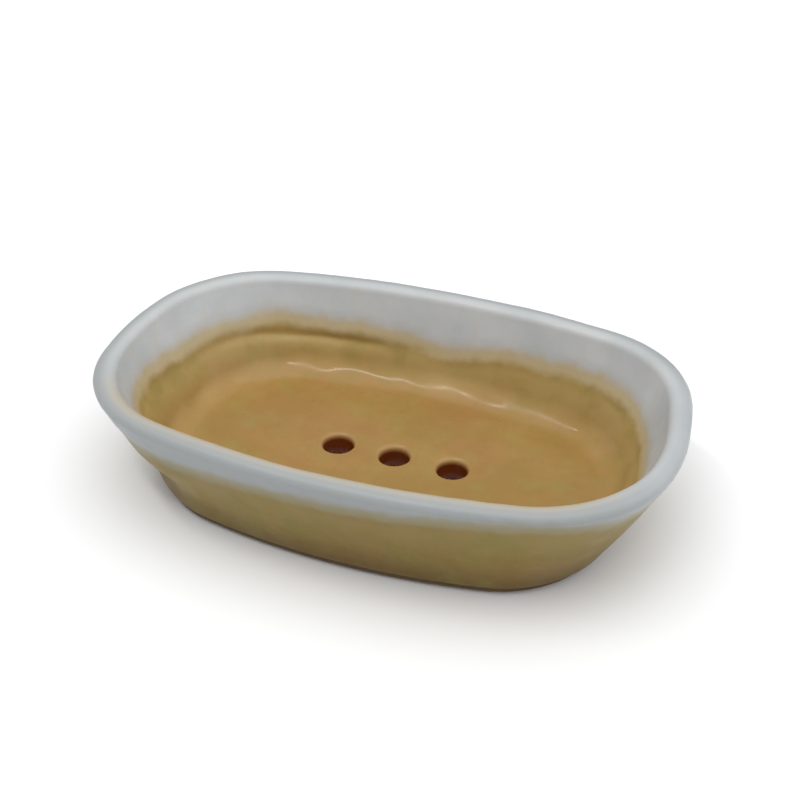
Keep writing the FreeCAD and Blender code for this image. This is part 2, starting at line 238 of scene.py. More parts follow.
# %% Edge of the dip
DIP_DEPTH = 10.25
EDGE_SHARES = [(0, 1.09), (25, 1.20), (45, 1.01), (62, 0.98), (76, 1.04), (84, 1.21), (91, 1.31), (99, 1.15),
               (112, 1.03), (130, 0.97), (150, 1.04), (172, 1.01), (192, 0.84), (215, 0.91), (238, 0.96),
               (255, 0.77), (275, 0.66), (295, 0.51), (309, 0.38), (322, 0.57), (340, 0.85)]
EDGE_SOFTENING, EDGE_STEP = 2.0, 0.5   # degrees
OUTSIDE_LIFT = 0.8          # the white ends higher outside, where the wall leans away from the dip
BARE_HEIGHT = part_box("honey_glaze_outside")[0].z / MM      # the glaze is wiped off below this
RIPPLE, RIPPLE_WIDTH = 0.6, 7.0
RIPPLE_INSIDE, RIPPLE_OUTSIDE = 0.3, 4.7   # which waves each side has


def dip_edge(turn):
    """Height of the edge of the white at an angle round the oval."""
    fine = np.arange(0, 360, EDGE_STEP)
    angles, shares = zip(*EDGE_SHARES)
    depth = np.interp(fine, angles, shares, period=360)
    spread = (fine + 180) % 360 - 180
    blur = np.exp(-0.5 * (spread / EDGE_SOFTENING)**2)
    depth = np.fft.irfft(np.fft.rfft(depth) * np.fft.rfft(blur / blur.sum()), len(fine))
    return CLAY_HEIGHT - DIP_DEPTH * np.interp(np.degrees(turn) % 360, fine, depth, period=360)


def ripple(lift):
    """Small waves in the edge, from the places along the rim."""
    return np.array([noise.noise(Vector((x / RIPPLE_WIDTH, y / RIPPLE_WIDTH, lift))) for x, y in rim_outline])


def run_at(height, arc_end):
    """Distance along the section at which the straight wall after a rounded corner meets a height."""
    near, far = section[:, arc_end, 1], section[:, arc_end + 1, 1]
    share = (height - near) / (far - near)
    return section_run[:, arc_end] + share * (section_run[:, arc_end + 1] - section_run[:, arc_end])


edge_inside = dip_edge(column_turn) + RIPPLE * ripple(RIPPLE_INSIDE)
edge_outside = dip_edge(column_turn) + RIPPLE * ripple(RIPPLE_OUTSIDE) + OUTSIDE_LIFT
inside_run = run_at(edge_inside, COVE_END)
outside_run = run_at(edge_outside, OUTER_LIP_END)
bare_run = run_at(np.full(COLUMNS, BARE_HEIGHT), OUTER_LIP_END)
print("white ends inside at, mm:", round(edge_inside.min(), 1), "to", round(edge_inside.max(), 1))

# %% Rows of vertices up, over and down the wall
INSIDE_ROWS, RIM_ROWS, OUTSIDE_ROWS, FOOT_ROWS = 56, 72, 36, 44
BANDS = [(np.zeros(COLUMNS), inside_run, INSIDE_ROWS), (inside_run, outside_run, RIM_ROWS),
         (outside_run, bare_run, OUTSIDE_ROWS), (bare_run, section_run[:, -1], FOOT_ROWS)]
rows = np.concatenate([start[None] + np.linspace(0, 1, count, endpoint=False)[:, None] * (stop - start)[None]
                       for start, stop, count in BANDS] + [section_run[None, :, -1]])
ROWS = len(rows)
insets, heights = (np.stack([np.interp(rows[:, column], section_run[column], section[column, :, axis])
                             for column in range(COLUMNS)]) for axis in (0, 1))
wall_grid = wall_points(insets, heights).transpose(1, 0, 2).reshape(-1, 3)
print("wall vertices:", len(wall_grid))

# %% [markdown]
# ## Floor, drain holes and underside
# The floor is flat, with three drilled holes whose edges were softened with a wet sponge.  Boolean cuts would
# leave long thin faces that shade badly, so the floor is triangulated between the wall's first row, the
# rings of vertices round each hole and an even scatter of points.  The underside of the recess is made alike.

# %% Floor mesh
HOLE_RADIUS, HOLE_EDGE = 4.1, 1.0
HOLE_PITCH, HOLE_ROW_OFFSET, HOLE_ROW_SET_BACK = 14.8, 0.5, 1.3
HOLE_PLACES = [HOLE_ROW_OFFSET + step * HOLE_PITCH for step in (-1, 0, 1)]
HOLE_COLUMNS = 72
EDGE_RINGS, LINING_RINGS = 9, 7   # rings of vertices round a softened edge and down a hole
SCATTER = 1.6               # spacing of the points between
ROW_SHARE = math.sqrt(0.75)   # rows of even triangles lie this much closer than their points
SAME_POINT = 1e-6
turns = np.linspace(0, 2 * math.pi, HOLE_COLUMNS, endpoint=False)
softening = np.linspace(0, math.pi / 2, EDGE_RINGS)
drop = np.linspace(FLOOR_HEIGHT - HOLE_EDGE, RECESS_DEPTH, LINING_RINGS + 1)[1:]
ring_radii = np.concatenate([HOLE_RADIUS + HOLE_EDGE * (1 - np.sin(softening)),
                             np.full(LINING_RINGS, HOLE_RADIUS)])
ring_heights = np.concatenate([FLOOR_HEIGHT - HOLE_EDGE * (1 - np.cos(softening)), drop])
HOLE_RINGS = len(ring_radii)


def hole_rings(place):
    """Vertices of one hole, ring after ring from the floor down."""
    x = place + ring_radii[:, None] * np.cos(turns)
    y = HOLE_ROW_SET_BACK + ring_radii[:, None] * np.sin(turns)
    z = np.broadcast_to(ring_heights[:, None], x.shape)
    return np.stack([x, y, z], -1).reshape(-1, 3)


def flat_between(outer, hole_loops, hole_radius, height, first_new):
    """Scattered vertices and the triangles of a flat face between an outer loop and the holes."""
    outline = vertices[outer][:, :2]
    half = np.abs(outline).max(0)
    grid = [(x + (row % 2) * SCATTER / 2, y)
            for row, y in enumerate(np.arange(-half[1], half[1], SCATTER * ROW_SHARE))
            for x in np.arange(-half[0], half[0], SCATTER)]
    edges = np.roll(outline, -1, 0) - outline
    inward = unit(np.stack([-edges[:, 1], edges[:, 0]], -1))
    inner = [p for p in grid
             if ((np.array(p) - outline) * inward).sum(-1).min() > SCATTER / 2
             and all(math.hypot(p[0] - place, p[1] - HOLE_ROW_SET_BACK) > hole_radius + SCATTER / 2
                     for place in HOLE_PLACES)]
    known = np.concatenate([outer, *hole_loops])
    flat = [Vector(p) for p in vertices[known][:, :2]] + [Vector(p) for p in inner]
    numbers = list(known) + list(range(first_new, first_new + len(inner)))
    loops, begin = [], 0
    for loop in [outer, *hole_loops]:
        loops += [(begin + k, begin + (k + 1) % len(loop)) for k in range(len(loop))]
        begin += len(loop)
    _, _, triangles, sources, _, _ = delaunay_2d_cdt(flat, loops, [], 0, SAME_POINT)
    in_hole = [set(int(n) for n in loop) for loop in hole_loops]
    faces = [tuple(int(numbers[sources[v][0]]) for v in triangle) for triangle in triangles]
    faces = [face for face in faces if not any(set(face) <= hole for hole in in_hole)]
    return [(x, y, height) for x, y in inner], faces


def grid_faces(first, row_count, column_count, flipped=False):
    """Quads of a closed band of vertices; not flipped, they face left of the way that the rows run."""
    faces = []
    for row in range(row_count - 1):
        for column in range(column_count):
            a = first + row * column_count + column
            b = first + row * column_count + (column + 1) % column_count
            quad = (a, a + column_count, b + column_count, b)
            faces.append(quad[::-1] if flipped else quad)
    return faces


HOLE_STARTS = [len(wall_grid) + n * HOLE_RINGS * HOLE_COLUMNS for n in range(len(HOLE_PLACES))]
vertices = np.concatenate([wall_grid, *[hole_rings(place) for place in HOLE_PLACES]])
floor_loops = [np.arange(HOLE_COLUMNS) + start for start in HOLE_STARTS]
under_loops = [loop + (HOLE_RINGS - 1) * HOLE_COLUMNS for loop in floor_loops]
floor_scatter, floor_faces = flat_between(np.arange(COLUMNS), floor_loops, HOLE_RADIUS + HOLE_EDGE,
                                          FLOOR_HEIGHT, len(vertices))
vertices = np.concatenate([vertices, floor_scatter])
under_scatter, under_faces = flat_between(np.arange(COLUMNS) + (ROWS - 1) * COLUMNS, under_loops, HOLE_RADIUS,
                                          RECESS_DEPTH, len(vertices))
vertices = np.concatenate([vertices, under_scatter])
under_faces = [face[::-1] for face in under_faces]
hole_faces = [face for start in HOLE_STARTS for face in grid_faces(start, HOLE_RINGS, HOLE_COLUMNS, True)]
print("floor triangles:", len(floor_faces), "underside triangles:", len(under_faces))

# %% Faces of each band of the wall
starts = np.cumsum([0, INSIDE_ROWS, RIM_ROWS, OUTSIDE_ROWS]) * COLUMNS
inside_faces, rim_faces, outside_faces, foot_faces = (
    grid_faces(int(start), band[2] + 1, COLUMNS) for start, band in zip(starts, BANDS))
clay_faces = (inside_faces + rim_faces + outside_faces + foot_faces + floor_faces + hole_faces + under_faces)
honey_inside_faces = inside_faces + floor_faces + hole_faces
print("clay faces:", len(clay_faces))

# %% [markdown]
# ## The hand in it
# No two hand-made dishes are quite alike: the lip dips a little between its ends, the plan is not perfectly
# even, and the right end was pressed a little flatter.  Fingers left shallow waves round the cove and a
# groove in the far wall, and a thumb left a dent on the outside near the left end.  A bump map would only
# fake the shading, and the outline would stay perfect, so the vertices move.

# %% Unevenness
LIP_DIP, LIP_DIP_PHASE = 0.25, 0.6      # most that the lip sinks, twice round the dish
PLAN_SET_IN, PLAN_DRAW_IN = 0.2, 0.35   # least that the plan is drawn in at the lip, and most added
PLAN_PHASE = 0.4                        # it is drawn in three times round the dish
END_FLAT, END_MIDDLE, END_SPREAD = 1.8, math.radians(17), math.radians(22)   # the flatter right end
WAVE_DEPTH, WAVE_LENGTH, WAVE_LIFT = 0.20, 15.0, 2.0      # a lift picks which waves
FINE_DEPTH, FINE_LENGTH, FINE_LIFT = 0.05, 4.5, 9.0
COVE_WAVE_DEPTH, COVE_WAVE_LENGTH, COVE_WAVE_LIFT = 0.6, 9.0, 5.0
COVE_SHARE_OF_RADIUS = 0.55             # reach of the cove to either side of its middle
FOOT_FADE = 3.0                         # the waves start over this height above the wiped foot
GROOVE_DEPTH, GROOVE_HEIGHT, GROOVE_WIDTH, GROOVE_LIFT = 0.75, 15.7, 1.5, 7.0
GROOVE_MIDDLE, GROOVE_SPREAD = math.radians(128), math.radians(26)
THUMB_DEPTH, THUMB_PLACE, THUMB_HEIGHT = 2.2, (-45.5, -30.5), 8.6
THUMB_WIDTH, THUMB_TALL = 9.0, 4.2


def surface_normals(places, faces):
    """Vertex normals of a mesh, weighted by the area of the faces."""
    normals = np.zeros_like(places)
    for size in (3, 4):
        some = np.array([face for face in faces if len(face) == size])
        across = np.cross(places[some[:, 2]] - places[some[:, 0]], places[some[:, -1]] - places[some[:, 1]])
        for corner in range(size):
            np.add.at(normals, some[:, corner], across)
    return unit(normals)


def waves(places, length, lift):
    return np.array([noise.noise(Vector(p) / length + Vector((lift, 0, 0))) for p in places])


turn = np.arctan2(vertices[:, 1] / rim_half[1], vertices[:, 0] / rim_half[0])
high = (vertices[:, 2] / CLAY_HEIGHT)**2
shaped = vertices.copy()
shaped[:, 2] -= LIP_DIP * high * (0.5 - 0.5 * np.cos(2 * turn + LIP_DIP_PHASE))
drawn_in = PLAN_SET_IN + PLAN_DRAW_IN * (0.5 - 0.5 * np.sin(3 * turn + PLAN_PHASE))
drawn_in += END_FLAT * np.exp(-((turn - END_MIDDLE) / END_SPREAD)**2)
shaped[:, :2] *= (1 - high * drawn_in / rim_half[0])[:, None]
normals = surface_normals(shaped, clay_faces)
above_foot = np.clip((vertices[:, 2] - BARE_HEIGHT) / FOOT_FADE, 0, 1)
outside = (normals[:, :2] * vertices[:, :2]).sum(-1) > 0
from_cove = (rows - section_run[:, COVE_MIDDLE]) / (COVE_SHARE_OF_RADIUS * COVE_RADIUS)
cove = np.zeros(len(vertices))
cove[:ROWS * COLUMNS] = np.exp(-from_cove**2).ravel()
swell = WAVE_DEPTH * (waves(shaped, WAVE_LENGTH, WAVE_LIFT) - 0.5)
swell += FINE_DEPTH * (waves(shaped, FINE_LENGTH, FINE_LIFT) - 0.5)
swell += cove * COVE_WAVE_DEPTH * waves(shaped, COVE_WAVE_LENGTH, COVE_WAVE_LIFT)
shaped += normals * (above_foot * swell)[:, None]
groove_height = GROOVE_HEIGHT + waves(shaped, WAVE_LENGTH, GROOVE_LIFT)
groove = np.exp(-((vertices[:, 2] - groove_height) / GROOVE_WIDTH)**2
                - ((turn - GROOVE_MIDDLE) / GROOVE_SPREAD)**2)
shaped -= normals * (GROOVE_DEPTH * groove * ~outside)[:, None]
along_wall = np.linalg.norm(vertices[:, :2] - THUMB_PLACE, axis=1)
thumb = np.exp(-(along_wall / THUMB_WIDTH)**2 - ((vertices[:, 2] - THUMB_HEIGHT) / THUMB_TALL)**2)
shaped -= normals * (THUMB_DEPTH * thumb * outside)[:, None]
clay_normals = surface_normals(shaped, clay_faces)
print("moved, mm at most:", round(np.linalg.norm(shaped - vertices, axis=1).max(), 2))

# %% [markdown]
# ## Coats of glaze
# A glaze is a skin of glass about half a millimetre thick.  The white is thicker than the honey and thins out
# towards its edge, and the honey has run down the holes and hangs in a bead at their lower edges.  Solidify
# would give one thickness all over, so each coat's outer skin is the clay moved out by a thickness of its own
# at every vertex, and the coat is closed along its borders.

# %% Thickness and distances
HONEY_COAT, WHITE_COAT = 0.5, 0.75
FEATHER = 5.0               # the white thins out over this width
HOLE_BEAD = 0.4             # glaze that ran down a hole and hangs at its lower edge
WIPED_COAT, WIPE_WIDTH = 0.12, 0.9
TOAST_AND_SHADE_WIDTH = 2.5           # bare clay next to the glaze that is darker brown, partly a toasted flash and partly painted shade at the bottom edge
CREST_WIDTH = 1.7           # the lip's inner edge, where the white is thin
FAR_CREST, NEAR_FROM, NEAR_TO = 0.1, 0.4, 0.8   # it is less thin on the far side; shares of the half width
LIP_TURN, LIP_LEAD = 3.4, 1.6   # the painted shade outside sets in over this run, from this far before the lip turns outwards
RIGHT_END_LESS_SHADE, RIGHT_END_SHADE_FROM = 0.5, 0.74   # the painted shade outside is lighter at the right end
FAR = 40.0                  # stands for a long way from an edge

count = len(vertices)
line_mm, wipe_mm, crest = (np.full(count, value) for value in (FAR, FAR, 0.0))
from_edge = np.where(rows <= inside_run, inside_run - rows,
                     np.where(rows <= outside_run, -np.minimum(rows - inside_run, outside_run - rows),
                              rows - outside_run))
line_mm[:ROWS * COLUMNS] = from_edge.ravel()
wipe_mm[:ROWS * COLUMNS] = np.where(rows > outside_run, np.maximum(bare_run - rows, 0), FAR).ravel()
crest_run, lip_run = section_run[:, CREST], section_run[:, LIP_TOP]
crest[:ROWS * COLUMNS] = np.exp(-((rows - crest_run) / CREST_WIDTH)**2).ravel()
sunk_mm = np.zeros(count)
for start in HOLE_STARTS:
    sunk_mm[start:start + HOLE_RINGS * HOLE_COLUMNS] = np.repeat(FLOOR_HEIGHT - ring_heights, HOLE_COLUMNS)
in_lining = sunk_mm >= HOLE_EDGE
clay_normals[in_lining, 2] = 0
clay_normals = unit(clay_normals)


def smooth(value):
    value = np.clip(value, 0, 1)
    return value * value * (3 - 2 * value)


near_side = smooth((-np.sin(turn) - NEAR_FROM) / (NEAR_TO - NEAR_FROM))
thin_crest = crest * (FAR_CREST + (1 - FAR_CREST) * near_side)
# The outer face is where the white is painted greyer: painted shade on the outside of the lip and wall, which
# face down, away from the light, with less of it at the right end.
outer_face = np.zeros(count)
outer_face[:ROWS * COLUMNS] = smooth((rows - lip_run + LIP_LEAD) / LIP_TURN).ravel()
outer_face *= 1 - RIGHT_END_LESS_SHADE * smooth((np.cos(turn) - RIGHT_END_SHADE_FROM) / (1 - RIGHT_END_SHADE_FROM))
white_mm = np.maximum(-line_mm, 0)
coat = HONEY_COAT + (WHITE_COAT - HONEY_COAT) * smooth(white_mm / FEATHER)
coat += HOLE_BEAD * smooth(sunk_mm / (FLOOR_HEIGHT - RECESS_DEPTH))
coat *= WIPED_COAT / HONEY_COAT + (1 - WIPED_COAT / HONEY_COAT) * smooth(wipe_mm / WIPE_WIDTH)
glazed = shaped + clay_normals * coat[:, None]
print("coat, mm:", round(coat.min(), 2), "to", round(coat.max(), 2))


# %% Meshes
SHARP_ANGLE = math.radians(50)


def piece_mesh(name, places, faces, values):
    """A smooth mesh in metres, with a number at each vertex for every finish that needs one."""
    mesh = bpy.data.meshes.new(name)
    mesh.from_pydata((places * MM).tolist(), [], faces)
    mesh.shade_smooth()
    mesh.set_sharp_from_angle(angle=SHARP_ANGLE)
    for title, numbers in values.items():
        mesh.attributes.new(title, "FLOAT", "POINT").data.foreach_set("value", numbers.astype(np.float32))
    piece = bpy.data.objects.new(name, mesh)
    bpy.context.scene.collection.objects.link(piece)
    return piece


def coat_piece(name, faces):
    """A closed skin: outside on the glaze's surface, inside on the clay, joined along every open border."""
    used = sorted({v for face in faces for v in face})
    place = {v: n for n, v in enumerate(used)}
    outer = [tuple(place[v] for v in face) for face in faces]
    inner = [tuple(v + len(used) for v in face[::-1]) for face in outer]
    sides = {(face[k], face[(k + 1) % len(face)]) for face in outer for k in range(len(face))}
    borders = [(b, a, a + len(used), b + len(used)) for a, b in sorted(sides) if (b, a) not in sides]
    values = {"line_mm": line_mm, "wipe_mm": wipe_mm, "sunk_mm": sunk_mm, "cove": cove, "crest": thin_crest,
              "outer_face": outer_face}
    return piece_mesh(name, np.concatenate([glazed[used], shaped[used]]), outer + inner + borders,
                      {title: np.tile(numbers[used], 2) for title, numbers in values.items()})


# Next to the glaze the bare clay is darker brown: partly a toasted flash and partly painted shade at the
# bottom edge.
past_wipe = np.full(count, FAR)
past_wipe[:ROWS * COLUMNS] = np.maximum(rows - bare_run, 0).ravel()
toast_and_shade = 1 - smooth((past_wipe - TOAST_AND_SHADE_WIDTH) / TOAST_AND_SHADE_WIDTH)
stoneware = piece_mesh("stoneware_clay", shaped, clay_faces, {"toast_and_shade": toast_and_shade})
basin_honey = coat_piece("basin_honey_glaze", honey_inside_faces)
wall_honey = coat_piece("wall_honey_glaze", outside_faces)
rim_white = coat_piece("rim_white_glaze", rim_faces)
for piece, node, slot in [(stoneware, "stoneware_body", "bare_stoneware"),
                          (basin_honey, "honey_glaze_inside", "honey_glaze"),
                          (wall_honey, "honey_glaze_outside", "honey_glaze"),
                          (rim_white, "white_glaze_rim", "white_glaze")]:
    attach(piece, "root")
    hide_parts(node)
    print(piece.name, "faces:", len(piece.data.polygons))

# %% [markdown]
# ## Finishes
# A finish could be painted as a picture.  Here every one is worked out from noise at a real size and from
# the distances kept at the vertices, so it holds at any zoom and from any side.  One small function adds a
# node, sets it and links it.  Two more put such nodes together for what the finishes share: clouds in the
# colour and fine relief in the surface.


# %% Helpers for the finishes
def linear(hex_colour):
    """An sRGB hex colour as the linear colour that a shader takes."""
    parts = [int(hex_colour[k:k + 2], 16) / 255 for k in (1, 3, 5)]
    return [c / 12.92 if c <= 0.04045 else ((c + 0.055) / 1.055)**2.4 for c in parts] + [1.0]


def per_metre(size_mm):
    """Scale of a pattern whose features are that large."""
    return 1 / (size_mm * MM)


def add(tree, kind, sockets=None, **settings):
    """A new node: sockets takes values or other nodes' outputs, by name or by number."""
    made = tree.nodes.new("ShaderNode" + kind)
    for name, value in settings.items():
        setattr(made, name, value)
    for key, value in (sockets or {}).items():
        if isinstance(value, bpy.types.NodeSocket):
            tree.links.new(value, made.inputs[key])
        else:
            made.inputs[key].default_value = value
    return made


def new_finish(name):
    """A material, its nodes, its shader, and the places on the piece at which patterns are drawn."""
    finish = bpy.data.materials.new(name)
    finish.use_nodes = True
    tree = finish.node_tree
    return finish, tree, tree.nodes["Principled BSDF"], add(tree, "TexCoord").outputs["Object"]


def clouds(tree, place, size_mm, detail, cut, share=1.0, seed=None, roughness=0.5):
    """How far a tone shows: not where the noise is under the cut, by the full share where it is over it."""
    pattern = {"Vector": place, "Scale": per_metre(size_mm), "Detail": detail, "Roughness": roughness}
    if seed is None:
        spots = add(tree, "TexNoise", pattern).outputs[0]
    else:
        spots = add(tree, "TexNoise", {**pattern, "W": seed}, noise_dimensions="4D").outputs[0]
    return add(tree, "MapRange", {0: spots, 1: cut[0], 2: cut[1], 4: share}).outputs[0]


def fine_relief(tree, shader, place, size_mm, detail, depth_mm, strength):
    """Small bumps over the whole surface."""
    pattern = {"Vector": place, "Scale": per_metre(size_mm), "Detail": detail}
    height = add(tree, "TexNoise", pattern).outputs[0]
    bumps = add(tree, "Bump", {"Height": height, "Distance": depth_mm * MM, "Strength": strength}).outputs[0]
    tree.links.new(bumps, shader.inputs["Normal"])


# %% [markdown]
# ### Where the glazes meet
# Two melted glazes never meet in a sharp line: they flow into each other over a few millimetres.  A blur
# over the finished picture would soften everything.  Here both finishes read the same wavering distance from
# the border, so that their colours agree where the coats meet.

# %% The glazes' shared border
WAVER, WAVER_SIZE, WAVER_DETAIL = 1.0, 3.0, 3   # millimetres to either side, size of the waves
HONEY_BLEND, WHITE_BLEND = 2.8, 3.8             # how far the mixed glaze reaches into each coat


def border_distance(tree, place):
    """Millimetres from the wavering border, positive on the honey."""
    line = add(tree, "Attribute", attribute_name="line_mm").outputs["Fac"]
    pattern = {"Vector": place, "Scale": per_metre(WAVER_SIZE), "Detail": WAVER_DETAIL}
    waver = add(tree, "TexNoise", pattern).outputs[0]
    waver = add(tree, "MapRange", {0: waver, 3: -WAVER, 4: WAVER}).outputs[0]
    return add(tree, "Math", {0: line, 1: waver}, operation="ADD").outputs[0]


print("glazes mix over, mm:", round(HONEY_BLEND + WHITE_BLEND, 1))

# %% [markdown]
# ### Honey glaze
# An iron-bearing transparent glaze, fired glossy over a buff stoneware.  It is glass with the colour of
# honey: amber on the floor.  Near the white it has olive and brown patches, and the two glazes have run
# together into a soft milky border.  Light and shade are painted into it as well.  The cove is painted paler,
# to cancel its shade and to stand for the soft glow round its glint, and the walls below the white are
# painted lighter, to cancel their shade.  Low on the outside it is painted darker and browner towards the
# wiped foot, as shade.  Inside the drain holes it is painted dark brown, as the shade in them, and their
# edges are tan, partly where the glaze breaks thin and partly as a painted highlight.  One flat colour would
# look like plastic, so tones are laid over each other: clouds first, then the painted light and shade of the
# cove, the foot and the walls below the white, then what met the white, and the holes last.  In the basin it
# shows glints.  Outside, the same glaze is thinner over the wall and came out of the kiln satin, so it has a
# rougher surface there and its own tones, darker and more olive, partly for that thin satin glaze and partly
# as painted shade of a wall that faces down, away from the lamp.

# %% Tones of the honey glaze
# They are listed in the order in which they are laid over each other.
# In the basin the cove's tone is painted light: paler, to cancel the cove's shade and to stand for the soft
# glow round its glint.  The tone for the walls below the white is painted light too: lighter, to cancel their
# shade.
BASIN_HONEY = {"thin": "#A07D46", "thick": "#95743C", "blush": "#9C6D40", "pooled": "#8F7139",
               "cove": "#B4925A", "foot": "#97793F", "painted_light_below_white": "#B29A62", "olive": "#938144",
               "border": "#7C5D2C", "mixed": "#BBAB87", "under": "#C3C5C5"}
# Outside, the tones are darker and more olive than in the basin, partly for the thinner satin glaze and
# partly as painted shade of a wall that faces down, away from the lamp.  There the foot's tone is painted
# shade, darker towards the wiped foot.
WALL_HONEY_AND_SHADE = {"thin": "#8E793A", "thick": "#826E33", "blush": "#886936", "pooled": "#766129",
              "cove": "#826E33", "foot": "#684F27", "painted_light_below_white": "#8D7944", "olive": "#7A7234",
              "border": "#836D3C", "mixed": "#8F876A", "under": "#9A9E9F"}
# Round the top of each drain hole a lighter tan, partly where the glaze breaks thin and partly a painted
# highlight; down inside the hole a dark brown, which is painted shade.
HOLE_BREAK_HIGHLIGHT_AND_SHADE = {"edge": "#C49A6C", "painted_hole_shade": "#5C1E00"}
HONEY_CLOUDS = {"thick": dict(size_mm=17, detail=3, cut=(0.38, 0.64)),
                "blush": dict(size_mm=24, detail=2, cut=(0.48, 0.66), share=0.75, seed=3.0),
                "pooled": dict(size_mm=2.6, detail=5, cut=(0.35, 0.7), share=0.6, roughness=0.65),
                "olive": dict(size_mm=7, detail=4, cut=(0.5, 0.68), share=0.55, seed=8.0),
                "border": dict(size_mm=13, detail=5, cut=(0.42, 0.62), share=0.4, seed=5.0)}
# These fades place the painted light and shade: over the cove, towards the foot, on the walls below the
# white, and at the edge and inside of each hole.
# What a tone follows, how it sets in, where it starts, where it is full, and its share there.
HONEY_FADES = {"cove": ("cove", "LINEAR", 0.0, 1.0, 0.35),
               "foot": ("wipe_mm", "SMOOTHSTEP", 11.0, 0.0, 0.8),
               "painted_light_below_white": ("line_mm", "SMOOTHSTEP", 15.0, 4.0, 0.8),
               "border": ("line_mm", "SMOOTHSTEP", 5.0, 2.0, 1.0),
               "mixed": ("line_mm", "SMOOTHSTEP", HONEY_BLEND, 0.0, 1.0),
               "under": ("line_mm", "SMOOTHSTEP", 0.0, -WHITE_BLEND, 1.0),
               "edge": ("sunk_mm", "LINEAR", 0.0, 0.2, 0.3),
               "painted_hole_shade": ("sunk_mm", "LINEAR", 0.35, 1.3, 0.95)}
print("tones of honey:", len(BASIN_HONEY) + len(HOLE_BREAK_HIGHLIGHT_AND_SHADE))

# %% Honey glaze
GLASS_IOR = 1.52
GLOSS_SIZE, GLOSS_DETAIL, GLOSS_CUT = 9, 2, (0.38, 0.64)   # patches that came out glossier
HONEY_PEEL = dict(size_mm=1.8, detail=2, depth_mm=0.03, strength=0.6)
BASIN_ROUGHNESS, BASIN_SHINE = (0.13, 0.3), 0.24           # least and most roughness, then the shine
WALL_ROUGHNESS, WALL_SHINE = (0.34, 0.44), 0.2


def honey_glaze(name, tones, roughness, shine):
    """Clouded amber glass.  A tone with both clouds and a fade shows where they meet."""
    finish, tree, shader, place = new_finish(name)
    along = {"line_mm": border_distance(tree, place)}
    for title in ("cove", "wipe_mm", "sunk_mm"):
        along[title] = add(tree, "Attribute", attribute_name=title).outputs["Fac"]
    share = {tone: clouds(tree, place, **grain) for tone, grain in HONEY_CLOUDS.items()}
    for tone, (title, setting_in, start, full, most) in HONEY_FADES.items():
        fade = add(tree, "MapRange", {0: along[title], 1: start, 2: full, 4: most},
                   interpolation_type=setting_in).outputs[0]
        if tone in share:
            fade = add(tree, "Math", {0: share[tone], 1: fade}, operation="MULTIPLY").outputs[0]
        share[tone] = fade
    layers = {**tones, **HOLE_BREAK_HIGHLIGHT_AND_SHADE}
    colour = linear(layers.pop("thin"))
    for tone, over in layers.items():
        colour = add(tree, "Mix", {0: share[tone], 6: colour, 7: linear(over)}, data_type="RGBA").outputs[2]
    tree.links.new(colour, shader.inputs["Base Color"])
    pattern = {"Vector": place, "Scale": per_metre(GLOSS_SIZE), "Detail": GLOSS_DETAIL}
    gloss = add(tree, "TexNoise", pattern).outputs[0]
    limits = {1: GLOSS_CUT[0], 2: GLOSS_CUT[1], 3: roughness[0], 4: roughness[1]}
    gloss = add(tree, "MapRange", {0: gloss, **limits}, interpolation_type="SMOOTHSTEP").outputs[0]
    tree.links.new(gloss, shader.inputs["Roughness"])
    fine_relief(tree, shader, place, **HONEY_PEEL)
    shader.inputs["IOR"].default_value = GLASS_IOR
    shader.inputs["Specular IOR Level"].default_value = shine
    return finish


for piece, finish in [
        (basin_honey, honey_glaze("fired_honey_glaze", BASIN_HONEY, BASIN_ROUGHNESS, BASIN_SHINE)),
        (wall_honey, honey_glaze("fired_satin_honey_glaze", WALL_HONEY_AND_SHADE, WALL_ROUGHNESS, WALL_SHINE))]:
    piece.data.materials.append(finish)
    print(piece.name, "wears", finish.name)

# %% [markdown]
# ### White glaze
# A tin-white dip over the honey.  It is opaque and smooth but satin, so it shows soft light and no glints.
# It has a cool grey cast.  Outside, where the wall leans away from the light, it is painted greyer as shade,
# less so at the right end.  It turns warm at its own edge, where the honey shows through, along the lip's
# inner edge, and in faint streaks where it ran down.  A plain white shader would miss all of that, so the
# distances kept at the vertices place each tone.

# %% White glaze
COOL_WHITE, BLUE_GREY, WARM_WHITE = "#C3C6C8", "#B6BBBE", "#C3BFB6"
# The outer face's grey is painted shade for the outside of the white, which faces down, away from the light.
OUTER_WHITE_SHADE, CREAM, HONEY_THROUGH = "#9A9E9F", "#AEA28C", "#9A8450"
WHITE_CLOUDS = dict(size_mm=14, detail=4, cut=(0.38, 0.66))
STREAKS = dict(size_mm=2.6, detail=4, cut=(0.52, 0.74), share=0.45)
STREAK_STRETCH = (1, 1, 0.2)   # drawn out along the height
WHITE_ROUGHNESS, WHITE_SHINE = (0.32, 0.45), 0.25
WHITE_PEEL = dict(size_mm=2.2, detail=2, depth_mm=0.03, strength=0.6)


